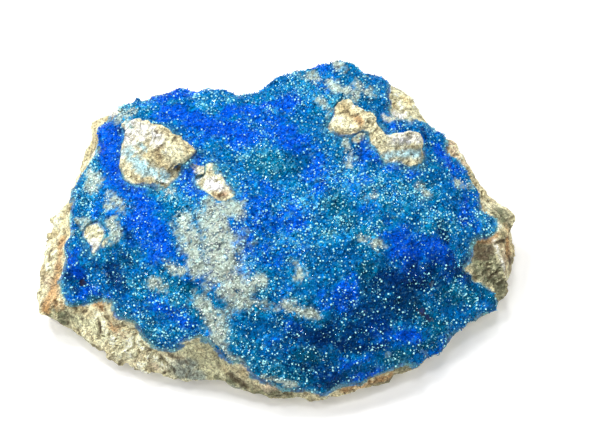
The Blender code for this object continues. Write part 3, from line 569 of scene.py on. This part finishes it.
def rock_tones(points, deep, covered, steps):
    """Colour of the rock, with how hollow it is, where the crust covers it, and its flaky steps; shade is
    painted into its hollows, cracks and foot, and light onto its proud points, ridges and step edges.
    """
    look = settings_of("rock")
    blue = settings_of("crust")
    wide = cloud(points, 8.0, 5.0)
    middle = cloud(points, 3.0, 17.0)
    small = cloud(points, 1.0, 31.0)
    low = smooth(-points[:, 2], -7.0, -1.0)
    inside = mask_maker(points, middle + 0.8 * small)
    tone = layered(look.cream, (
        (look.white, smooth(wide - 0.4 * middle, -0.1, 0.5) * 0.7),
        (look.tan, smooth(middle - 0.4 * wide, 0.1, 0.7) * 0.5),
        (look.grey, smooth(-middle - 0.5 * small, 0.3, 0.9) * 0.3),
        # Painted shade: olive darkens the rock from 7 mm down to 1 mm over the floor
        (look.olive, low * smooth(small + middle, -0.6, 0.6) * 0.35),
        (look.pink, inside(PINK) * 0.6),
        (look.white, inside(PALE) * 0.9),
        (look.tan, inside(SAND, 0.6) * 0.75),
        (look.sage, inside(SAGE) * 0.8),
        (look.snow, inside(SNOW, 0.7) * 0.95),
        (look.olive, inside(OLIVE) * smooth(small, -1.1, -0.1) * 0.9),
        (look.grey, inside(CHAR, 0.5, 0.5) * 0.85),
        (look.rust, inside(RUST, 0.6, 0.7) * 0.8),
        (look.frost, inside(FROSTY, 0.7, 0.5) * smooth(small, -0.8, -0.2)),
        (look.brown, inside(BROWN, 0.5, 0.5) * 0.85),
    ))
    # Painted light and shade on the flaky steps: darker at each step's foot, lighter at its edge
    tone = tone * (0.84 + 0.32 * steps)[:, None]
    rim = nearest_on("kinoite_crust", points)[1]
    return np.clip(layered(tone, (
        # Painted shade: brown in the hollows; painted highlight: pale on the proud points
        (look.brown, smooth(deep, 0.05, 0.2) * 0.6),
        (look.white, smooth(-deep, 0.04, 0.18) * 0.4),
        # Painted shade: dark brown in the open cracks and the front crevice
        (look.brown, inside(CRACKS, 0.6, 0.35) * 0.85),
        # Painted highlight along the ridges
        (look.snow, inside(RIDGE_HIGHLIGHT, 0.2, 0.35) * 0.8),
        (blue.edge, (1 - smooth(rim + 0.5 * small, 0.2, 0.8)) * 0.5),
        (blend(blue.edge, blue.azure, smooth(middle, -0.6, 0.5)), covered * 0.85),
        # Painted shade: dark blue in the hollows
        (blue.dark, inside(HOLLOW_SHADE, 0.0, 0.5)),
    )), 0, 1)


def paint(mesh, tones):
    """Stores a colour for each point of the mesh."""
    layer = mesh.color_attributes.new("tone", "FLOAT_COLOR", "POINT")
    layer.data.foreach_set("color", np.column_stack([tones, np.ones(len(tones))]).astype(np.float32).ravel())


# Material nodes

def set_input(node, key, value):
    if isinstance(value, bpy.types.NodeSocket):
        node.id_data.links.new(value, node.inputs[key])
    else:
        node.inputs[key].default_value = value


def set_inputs(node, **values):
    """Sets or links sockets by name, with a low line for each space in the name."""
    for key, value in values.items():
        set_input(node, key.replace("_", " "), value)


def add_node(tree, kind, inputs=None, **settings):
    made = tree.nodes.new(kind)
    for key, value in settings.items():
        setattr(made, key, value)
    for key, value in (inputs or {}).items():
        set_input(made, key, value)
    return made


def maths(tree, operation, *values, clamp=False):
    used = add_node(tree, "ShaderNodeMath", dict(enumerate(values)), operation=operation, use_clamp=clamp)
    return used.outputs[0]


def vectors(tree, operation, *values, **named):
    used = add_node(tree, "ShaderNodeVectorMath", dict(enumerate(values)), operation=operation)
    set_inputs(used, **named)
    return used.outputs[0]


def ramp(tree, *values):
    """A value whose range, low to high, is stretched to a new low and high."""
    return add_node(tree, "ShaderNodeMapRange", dict(enumerate(values))).outputs[0]


def mixed(tree, amount, first, second, how="MIX"):
    return add_node(tree, "ShaderNodeMix", {0: amount, 6: first, 7: second}, data_type="RGBA", blend_type=how,
                    clamp_result=True).outputs[2]


def shaded(tree, tone, value, low, high, dark, light):
    """The colour times a factor that runs from dark to light as the value runs from low to high."""
    return mixed(tree, 1.0, tone, ramp(tree, value, low, high, dark, light), "MULTIPLY")


def tinted(tree, tone, mask, share, over):
    """The colour with a share of another over it where the mask is."""
    return mixed(tree, maths(tree, "MULTIPLY", mask, share), tone, (*over, 1))


def painted(tree):
    return add_node(tree, "ShaderNodeVertexColor", layer_name="tone").outputs["Color"]


def red_of(tree, tone):
    return add_node(tree, "ShaderNodeSeparateColor", {0: tone}).outputs[0]


def start_group(name, inputs, outputs):
    """A new node group: its tree, what it is given, its end, the place on the piece and the scale."""
    tree = bpy.data.node_groups.new(name, "ShaderNodeTree")
    for key, value in inputs.items():
        tree.interface.new_socket(key, in_out="INPUT", socket_type="NodeSocketFloat").default_value = value
    for key, kind in outputs.items():
        tree.interface.new_socket(key, in_out="OUTPUT", socket_type="NodeSocket" + kind)
    start = tree.nodes.new("NodeGroupInput")
    end = tree.nodes.new("NodeGroupOutput")
    place = add_node(tree, "ShaderNodeTexCoord").outputs["Object"]
    return tree, start.outputs, end, place, maths(tree, "DIVIDE", 1000.0, start.outputs["Size in mm"])


def grains_group(name):
    """Single grains: a shade, a height and a facet direction for each."""
    tree, given, end, place, scale = start_group(name, {"Size in mm": 0.5, "Tilt": 0.5},
                                                 {"Shade": "Float", "Height": "Float", "Facet": "Vector"})
    cells = add_node(tree, "ShaderNodeTexVoronoi", {"Vector": place, "Scale": scale}).outputs
    centred = vectors(tree, "SUBTRACT", cells["Color"], (0.5, 0.5, 0.5))
    tilted = vectors(tree, "SCALE", centred, Scale=given["Tilt"])
    surface = add_node(tree, "ShaderNodeNewGeometry").outputs["Normal"]
    facet = vectors(tree, "NORMALIZE", vectors(tree, "ADD", tilted, surface))
    height = maths(tree, "SUBTRACT", 1.0, cells["Distance"])
    set_inputs(end, Shade=red_of(tree, cells["Color"]), Height=height, Facet=facet)
    return tree


def specks_group(name):
    """Scattered specks of one size, as a mask, and the cloud behind them."""
    tree, given, end, place, scale = start_group(name, {"Size in mm": 1.0, "Share": 0.2, "Shift": 0.0},
                                                 {"Mask": "Float", "Cloud": "Float"})
    moved = vectors(tree, "ADD", place, given["Shift"])
    haze = add_node(tree, "ShaderNodeTexNoise", {"Vector": moved, "Scale": scale, "Detail": 3.0,
                                                 "Roughness": 0.6}).outputs[0]
    edge = maths(tree, "SUBTRACT", 0.75, maths(tree, "MULTIPLY", given["Share"], 0.4))
    over = maths(tree, "SUBTRACT", haze, edge)
    set_inputs(end, Mask=maths(tree, "MULTIPLY", over, 14.0, clamp=True), Cloud=haze)
    return tree


def cracks_group(name):
    """Broken chips: a shade for each, and the dark lines between some of them."""
    tree, given, end, place, scale = start_group(name, {"Size in mm": 2.0, "Width": 0.08, "Shift": 0.0},
                                                 {"Shade": "Float", "Line": "Float"})
    placed = vectors(tree, "SCALE", place, Scale=scale)
    haze = add_node(tree, "ShaderNodeTexNoise", {"Vector": placed, "Scale": 1.7, "Detail": 3.0}).outputs
    bent = vectors(tree, "ADD", haze["Color"], given["Shift"])
    moved = {"Vector": vectors(tree, "ADD", placed, bent), "Scale": 1.0}
    cells = add_node(tree, "ShaderNodeTexVoronoi", moved).outputs
    edges = add_node(tree, "ShaderNodeTexVoronoi", moved, feature="DISTANCE_TO_EDGE").outputs
    line = maths(tree, "SUBTRACT", 1.0, maths(tree, "DIVIDE", edges["Distance"], given["Width"]), clamp=True)
    gate = maths(tree, "MULTIPLY", maths(tree, "SUBTRACT", haze[0], 0.45), 8.0, clamp=True)
    set_inputs(end, Shade=red_of(tree, cells["Color"]), Line=maths(tree, "MULTIPLY", line, gate))
    return tree


GROUPS = {"grains": grains_group, "specks": specks_group, "cracks": cracks_group}


def use_group(tree, name, **inputs):
    """The outputs of a shared group in this material; the group is built when it is first used."""
    shared = bpy.data.node_groups.get(name) or GROUPS[name](name)
    used = add_node(tree, "ShaderNodeGroup", node_tree=shared)
    set_inputs(used, **inputs)
    return used.outputs


def new_material(name, **constants):
    material = bpy.data.materials.new(name)
    material.use_nodes = True
    tree = material.node_tree
    shader = tree.nodes["Principled BSDF"]
    set_inputs(shader, **constants)
    return material, tree, shader


def glinting_material(name, level, **constants):
    """A material whose reflections take the tint of the glints."""
    glint = (*settings_of("crystals").glint, 1.0)
    return new_material(name, Specular_IOR_Level=level, Specular_Tint=glint, **constants)


def rock_material():
    look = settings_of("rock")
    material, tree, shader = new_material("broken skarn")
    grains = use_group(tree, "grains", Size_in_mm=0.35, Tilt=0.45)
    chips = use_group(tree, "cracks", Size_in_mm=2.6, Width=0.07, Shift=0.2)
    flakes = use_group(tree, "cracks", Size_in_mm=1.0, Width=0.09, Shift=0.5)
    fine = use_group(tree, "specks", Size_in_mm=0.5, Share=0.3)
    dark = use_group(tree, "specks", Size_in_mm=1.3, Share=0.3, Shift=0.31)
    light = use_group(tree, "specks", Size_in_mm=1.1, Share=0.5, Shift=0.67)
    sand = use_group(tree, "specks", Size_in_mm=0.28, Share=0.5, Shift=0.83)
    lines = maths(tree, "MAXIMUM", chips["Line"], flakes["Line"])
    tone = shaded(tree, painted(tree), chips["Shade"], 0, 1, 0.88, 1.18)
    tone = shaded(tree, tone, flakes["Shade"], 0, 1, 0.85, 1.2)
    tone = shaded(tree, tone, grains["Shade"], 0, 1, 0.88, 1.15)
    tone = shaded(tree, tone, sand["Cloud"], 0.3, 0.7, 0.55, 1.5)
    tone = mixed(tree, light["Mask"], tone, (1.3, 1.29, 1.24, 1), "MULTIPLY")
    tone = tinted(tree, tone, dark["Mask"], 0.5, look.olive)
    tone = tinted(tree, tone, fine["Mask"], 0.6, look.brown)
    tone = tinted(tree, tone, lines, 0.7, look.brown)
    height = maths(tree, "ADD", maths(tree, "MULTIPLY", grains["Height"], 0.6), sand["Cloud"])
    height = maths(tree, "SUBTRACT", height, maths(tree, "MULTIPLY", lines, 0.6))
    bump = add_node(tree, "ShaderNodeBump", {"Strength": 1.0, "Distance": 0.22 * MM, "Height": height})
    set_inputs(shader, Base_Color=tone, Roughness=ramp(tree, fine["Cloud"], 0.3, 0.7, 0.7, 0.95),
               Normal=bump.outputs[0])
    return material


def crust_material():
    look = settings_of("crust")
    material, tree, shader = glinting_material("kinoite druse", 0.08)
    grains = use_group(tree, "grains", Size_in_mm=0.35, Tilt=1.1)
    gaps = use_group(tree, "specks", Size_in_mm=0.9, Share=0.5, Shift=0.13)
    flecks = use_group(tree, "specks", Size_in_mm=0.7, Share=0.35, Shift=0.47)
    tone = shaded(tree, painted(tree), grains["Shade"], 0, 1, 0.5, 1.4)
    # Painted shade: dark specks for the gaps between the crystals
    tone = tinted(tree, tone, gaps["Mask"], 0.55, look.dark)
    tone = tinted(tree, tone, flecks["Mask"], 0.5, look.pale)
    bump = add_node(tree, "ShaderNodeBump", {"Strength": 0.7, "Distance": 0.15 * MM,
                                             "Height": grains["Height"], "Normal": grains["Facet"]})
    set_inputs(shader, Base_Color=tone, Roughness=ramp(tree, grains["Shade"], 0, 1, 0.1, 0.3),
               Normal=bump.outputs[0])
    return material


def blade_material():
    material, tree, shader = glinting_material("kinoite blades", 0.16, Roughness=0.12)
    fine = use_group(tree, "specks", Size_in_mm=0.3, Share=0.5)
    set_inputs(shader, Base_Color=shaded(tree, painted(tree), fine["Cloud"], 0.3, 0.7, 0.75, 1.2))
    return material


def clear_material():
    return new_material("clear crystal", Roughness=0.03, IOR=1.535, Transmission_Weight=1.0,
                        Base_Color=(0.80, 0.97, 1.0, 1.0))[0]


def spark_material():
    material, tree, shader = glinting_material("bright crystal", 0.3, Roughness=0.12)
    set_inputs(shader, Base_Color=painted(tree))
    return material


# Small crystals: one is modelled, then laid over the crust in one mesh

def template_arrays(obj):
    """Points and faces of a finished template, which is then removed."""
    mesh = obj.data
    points = np.array([v.co[:] for v in mesh.vertices])
    faces = [list(f.vertices) for f in mesh.polygons]
    bpy.data.objects.remove(obj)
    bpy.data.meshes.remove(mesh)
    return points, faces


def start_cube():
    deselect_all()
    bpy.ops.mesh.primitive_cube_add(size=1, location=(0, 0, 0))
    bpy.ops.object.mode_set(mode="EDIT")


def select_top():
    mesh = bmesh.from_edit_mesh(bpy.context.object.data)
    mesh.select_mode = {"FACE"}
    for face in mesh.faces:
        face.select_set(face.normal.z > 0.9)
    mesh.select_flush_mode()
    bmesh.update_edit_mesh(bpy.context.object.data)


def pointed_crystal():
    """A square prism one unit wide, with a low four sided point."""
    start_cube()
    select_top()
    bpy.ops.mesh.extrude_region_move(TRANSFORM_OT_translate={"value": (0, 0, 0.42)})
    bpy.ops.mesh.merge(type="CENTER")
    bpy.ops.object.mode_set(mode="OBJECT")
    return template_arrays(bpy.context.object)


def chisel_crystal():
    """A flat blade one unit wide that narrows to a chisel edge."""
    start_cube()
    bpy.ops.mesh.select_all(action="SELECT")
    bpy.ops.transform.resize(value=(1.0, 0.55, 1.5))
    select_top()
    bpy.ops.transform.resize(value=(0.7, 0.2, 1.0))
    bpy.ops.object.mode_set(mode="OBJECT")
    return template_arrays(bpy.context.object)


def double_pyramid():
    """Two square pyramids base to base, one unit wide."""
    deselect_all()
    bpy.ops.mesh.primitive_cone_add(vertices=4, radius1=0.7, depth=0.7, end_fill_type="NOTHING",
                                    location=(0, 0, 0.35))
    bpy.ops.object.transform_apply(location=True)
    apply_modifier(bpy.context.object, "MIRROR", use_axis=(False, False, True))
    return template_arrays(bpy.context.object)


def shares_at(spots, share, patches, cloudy):
    """The chance of a crystal at each spot: a share, changed in some patches and by a cloud."""
    for strokes, more in patches:
        share = share + more * patch_mask(spots, strokes)
    if cloudy:
        share = share + cloudy * cloud(spots, 2.2, 61.0, 2)
    return np.clip(share, LEAST_SHARE, 1)


def spread_over_crust(count, spacing, seed, share, patches, cloudy=0.0):
    """Spots on the open side of the crust, the way each faces, its distance from bare rock, and the draws."""
    chance = np.random.RandomState(seed)
    mesh = bpy.data.objects["crust_body"].data
    mesh.calc_loop_triangles()
    corners = points_of(mesh)[[triangle.vertices[:] for triangle in mesh.loop_triangles]]
    cross = np.cross(corners[:, 1] - corners[:, 0], corners[:, 2] - corners[:, 0])
    area = np.linalg.norm(cross, axis=1)
    normals = cross / np.maximum(area, 1e-12)[:, None]
    tries = count * TRIES
    picked = chance.choice(len(area), size=tries, p=area / area.sum())
    along = chance.rand(tries, 2)
    over = along.sum(axis=1) > 1
    along[over] = 1 - along[over]
    first, second, third = corners[picked].transpose(1, 0, 2)
    spots = first + along[:, :1] * (second - first) + along[:, 1:] * (third - first)
    facing = normals[picked]
    keep = chance.rand(tries) < shares_at(spots, share, patches, cloudy)
    rock = tree_of(SOLIDS["matrix"])
    taken = {}
    chosen = []
    for index in np.nonzero(keep)[0]:
        spot = spots[index]
        cell = tuple(np.floor(spot / spacing).astype(int))
        around = itertools.product(*((side - 1, side, side + 1) for side in cell))
        gaps = [spots[other] - spot for key in around for other in taken.get(key, ())]
        if any(gap @ gap < spacing * spacing for gap in gaps):
            continue
        way = Vector(facing[index])
        if rock.ray_cast(Vector(spot * MM) + way * LIFT * MM, way, CLEARANCE * MM)[0] is not None:
            continue
        taken.setdefault(cell, []).append(index)
        chosen.append(index)
        if len(chosen) == count:
            break
    spots = spots[chosen]
    return spots, facing[chosen], distance_to_bare_rock(spots), chance


def crystal_sizes(width, spread, rim, chance, thin, tall):
    """Three sizes for each crystal; thin is the share left at bare rock, tall the most height to width."""
    wide = width / MM * np.exp(chance.normal(0, spread, size=len(rim)))
    wide *= thin + (1 - thin) * smooth(rim, *CRYSTAL_RIM)
    return np.stack([wide, wide, wide * chance.uniform(0.8, tall, len(rim))], axis=1)


def lay_crystals(name, template, material, spots, facing, chance, sizes, tones, lean, sink):
    """One piece of many copies of a template crystal, with a colour for each."""
    shape, faces = template
    count = len(spots)
    upright = facing + lean * chance.normal(size=(count, 3))
    upright /= np.linalg.norm(upright, axis=1)[:, None]
    side = np.cross(upright, chance.normal(size=(count, 3)))
    side /= np.linalg.norm(side, axis=1)[:, None]
    axes = np.stack([side, np.cross(upright, side), upright], axis=1)
    placed = np.einsum("nvi,nij->nvj", shape[None] * sizes[:, None, :], axes)
    placed += (spots + upright * (sizes[:, 2] * sink)[:, None])[:, None]
    step = len(shape)
    copies = [[base + corner for corner in face] for base in range(0, count * step, step) for face in faces]
    mesh = bpy.data.meshes.new(name)
    mesh.from_pydata((placed.reshape(-1, 3) * MM).tolist(), [], copies)
    mesh.update()
    paint(mesh, np.repeat(tones, step, axis=0))
    made = new_object(name, mesh)
    finish_piece(made, material)
    return made


def finish_piece(obj, material):
    obj.data.materials.clear()
    obj.data.materials.append(material)
    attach(obj, "root")


class SPECIMEN_OT_rock(Operator):
    """Break up the surface of the host rock and colour it"""
    bl_idname = "specimen.rock"
    bl_label = "Host rock"

    def execute(self, context):
        look = settings_of("rock")
        rock = merged_copy("matrix", "rock_body")
        remesh(rock, look.voxel)
        points = points_of(rock.data)
        bare = smooth(nearest_on("kinoite_crust", points)[1], *CRUST_EDGE)
        shares = np.clip((points[:, 2] - FOOT) / FOOT_RISE, 0, 1)
        shares *= COVERED_RELIEF + (1 - COVERED_RELIEF) * bare
        shares *= 1 - 0.7 * patch_mask(points, SAGE)
        weight_points(rock, "free", shares)
        displace(rock, look.chips, "rock chips", "VORONOI", 3.2, "free", 0.25, weight_1=-1.0, weight_2=1.0)
        displace(rock, look.coarse, "rock lumps", "CLOUDS", 2.4, "free", noise_depth=1)
        displace(rock, look.fine, "rock grains", "CLOUDS", 0.55, "free", noise_depth=1)
        rock.vertex_groups.clear()
        points = points_of(rock.data)
        steps = flaky_steps(points)
        open_cracks = patch_mask(points, CRACKS, 0.1 * cloud(points, 1.0, 31.0), CRACK_REACH)
        moved = ((steps - 0.5) * look.steps - open_cracks * look.cracks) * shares / MM
        points += vectors_of(rock.data, "normal") * moved[:, None]
        move_points(rock.data, points)
        covered = mark_covered(rock.data)
        paint(rock.data, rock_tones(points, hollows(rock.data), covered, steps))
        finish_piece(rock, rock_material())
        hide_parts("matrix")
        return {"FINISHED"}


class SPECIMEN_OT_crust(Operator):
    """Grow the blue crust onto the rock and give it its druse"""
    bl_idname = "specimen.crust"
    bl_label = "Kinoite crust"

    def execute(self, context):
        look = settings_of("crust")
        crust = merged_copy("kinoite_crust", "crust_body")
        remesh(crust, look.voxel)
        apply_modifier(crust, "SMOOTH", factor=0.5, iterations=2)
        points = points_of(crust.data)
        rim = distance_to_bare_rock(points)
        under, gap = nearest_on("matrix", points)
        thin = 1 - look.thinning * (1 - smooth(rim, *THIN_RIM))
        outer = (vectors_of(crust.data, "normal") * (points - under)).sum(axis=1) > 0
        least = np.where(outer, LEAST_OUTER, LEAST_INNER)
        left = np.maximum((gap - look.gap / MM) * thin, least) / np.maximum(gap, SMALLEST_GAP)
        move_points(crust.data, under + (points - under) * left[:, None])
        weight_points(crust, "inner", EDGE_RELIEF + (1 - EDGE_RELIEF) * smooth(rim, *SMOOTH_RIM))
        displace(crust, look.cushions, "crust cushions", "CLOUDS", 2.4, "inner", noise_depth=1)
        displace(crust, look.druse, "crust druse", "VORONOI", 0.8, "inner")
        crust.vertex_groups.clear()
        points = points_of(crust.data)
        paint(crust.data, crust_tones(points, distance_to_bare_rock(points)))
        finish_piece(crust, crust_material())
        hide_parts("kinoite_crust")
        return {"FINISHED"}


class SPECIMEN_OT_blades(Operator):
    """Lay small blue blades over the crust"""
    bl_idname = "specimen.blades"
    bl_label = "Blue blades"

    def execute(self, context):
        look = settings_of("crystals")
        spots, facing, rim, chance = spread_over_crust(look.blades, 0.2, 21, 1.0, ((SUGARY, -0.75),))
        tones = crust_tones(spots, rim)
        tones = np.clip(tones * np.exp(chance.normal(0.0, 0.38, size=(len(spots), 1))), 0, 0.95)
        sizes = crystal_sizes(look.blade_size, 0.25, rim, chance, 0.6, 1.4)
        lay_crystals("kinoite_blades", chisel_crystal(), blade_material(), spots, facing, chance, sizes,
                     tones, 0.45, 0.15)
        return {"FINISHED"}


class SPECIMEN_OT_clears(Operator):
    """Lay the clear crystals over the crust"""
    bl_idname = "specimen.clears"
    bl_label = "Clear crystals"

    def execute(self, context):
        look = settings_of("crystals")
        patches = ((FROSTED, 0.5), (ROYAL, -0.25))
        spots, facing, rim, chance = spread_over_crust(look.clears, 0.3, 22, 0.3, patches)
        sizes = crystal_sizes(look.clear_size, 0.3, rim, chance, 0.5, 1.3)
        clears = lay_crystals("clear_crystals", pointed_crystal(), clear_material(), spots, facing, chance,
                              sizes, np.ones((len(spots), 3)), 0.4, 0.2)
        clears.visible_shadow = False
        return {"FINISHED"}


class SPECIMEN_OT_sparks(Operator):
    """Lay the small bright crystals over the crust"""
    bl_idname = "specimen.sparks"
    bl_label = "Bright crystals"

    def execute(self, context):
        look = settings_of("crystals")
        patches = ((FROSTED, 0.6), (SUGARY, 0.25), (ROYAL, -0.22), (BROAD_SHADE, -0.12), (CALM, -1), (BARE, -1))
        spots, facing, rim, chance = spread_over_crust(look.sparks, 0.14, 23, 0.34, patches, 0.35)
        count = len(spots)
        width = look.spark_size / MM * np.minimum(np.exp(chance.normal(0, 0.48, size=count)), 2.3)
        tones = layered(crust_tones(spots, rim), (
            (look.ice, chance.uniform(0.35, 1.0, size=count)),
            # Painted glints: the largest crystals and a random share go to the brightest colour
            (look.pale_and_glint, np.maximum(chance.rand(count) ** 2, smooth(width, 0.18, 0.3))),
            (settings_of("rock").snow, 0.8 * patch_mask(spots, SUGARY)),
        ))
        lay_crystals("bright_crystals", double_pyramid(), spark_material(), spots, facing, chance,
                     np.stack([width, width, width], axis=1), np.clip(tones, 0, 0.97), 0.5, 0.8)
        return {"FINISHED"}


def add_lamp(number, turn, rise, power, size):
    """A round lamp that looks at the specimen, from a turn and a rise in degrees."""
    turn, rise = math.radians(turn), math.radians(rise)
    way = Vector((math.cos(turn) * math.cos(rise), math.sin(turn) * math.cos(rise), math.sin(rise)))
    light = bpy.data.lights.new(f"lamp_{number}", "AREA")
    light.shape = "DISK"
    light.energy = power
    light.size = size
    lamp = new_object(light.name, light)
    lamp.location = way * LAMP_DISTANCE
    lamp.rotation_euler = (Vector(LAMP_AIM) - way * LAMP_DISTANCE).to_track_quat("-Z", "Y").to_euler()


class SPECIMEN_OT_stage(Operator):
    """Add the floor, the lights and the camera"""
    bl_idname = "specimen.stage"
    bl_label = "Floor, lights and camera"

    def execute(self, context):
        look = settings_of("stage")
        deselect_all()
        bpy.ops.mesh.primitive_plane_add(size=look.floor_size, location=(0, 0, 0))
        floor = context.object
        floor.name = "floor"
        material = new_material("pale floor", Roughness=0.9, Base_Color=(*look.floor, 1.0),
                                Emission_Color=(1, 1, 1, 1), Emission_Strength=look.floor_glow)[0]
        floor.data.materials.append(material)
        for number, (turn, rise, share) in enumerate(LAMPS):
            add_lamp(number, turn, rise, LAMP_POWER * share * look.light, look.lamp_size)
        context.scene.world = bpy.data.worlds.new("studio")
        context.scene.world.use_nodes = True
        sky = context.scene.world.node_tree.nodes["Background"]
        set_inputs(sky, Strength=look.sky, Color=(1, 1, 1, 1))
        context.scene.view_settings.view_transform = "Standard"
        camera = new_object("camera", bpy.data.cameras.new("camera"))
        camera.data.lens = look.lens
        back = Vector((0, -math.cos(look.elevation), math.sin(look.elevation)))
        camera.location = CAMERA_AIM + back * look.distance
        camera.rotation_euler = (math.pi / 2 - look.elevation, 0, 0)
        context.scene.camera = camera
        return {"FINISHED"}


class SPECIMEN_PT_panel(Panel):
    """Lists the pieces of the specimen"""
    bl_label = "Kinoite specimen"
    bl_idname = "SPECIMEN_PT_panel"
    bl_space_type = "VIEW_3D"
    bl_region_type = "UI"
    bl_category = "Specimen"

    def draw(self, context):
        for title, part, settings, operators in PARTS:
            box = self.layout.box()
            box.label(text=title)
            for key in settings.__annotations__:
                box.prop(settings_of(part), key)
            for operator in operators:
                box.operator(operator.bl_idname)


PARTS = (
    ("Host rock", "rock", RockSettings, (SPECIMEN_OT_rock,)),
    ("Crust", "crust", CrustSettings, (SPECIMEN_OT_crust,)),
    ("Small crystals", "crystals", CrystalSettings,
     (SPECIMEN_OT_blades, SPECIMEN_OT_clears, SPECIMEN_OT_sparks)),
    ("Stage", "stage", StageSettings, (SPECIMEN_OT_stage,)),
)


def register():
    for title, part, settings, operators in PARTS:
        for made in (settings, *operators):
            bpy.utils.register_class(made)
        setattr(bpy.types.Scene, "specimen_" + part, PointerProperty(type=settings))
    bpy.utils.register_class(SPECIMEN_PT_panel)


def unregister():
    bpy.utils.unregister_class(SPECIMEN_PT_panel)
    for title, part, settings, operators in reversed(PARTS):
        delattr(bpy.types.Scene, "specimen_" + part)
        for made in (*operators, settings):
            bpy.utils.unregister_class(made)


def main():
    register()
    bpy.ops.specimen.rock()
    bpy.ops.specimen.crust()
    bpy.ops.specimen.blades()
    bpy.ops.specimen.clears()
    bpy.ops.specimen.sparks()
    bpy.ops.specimen.stage()


if __name__ == "__main__":
    main()
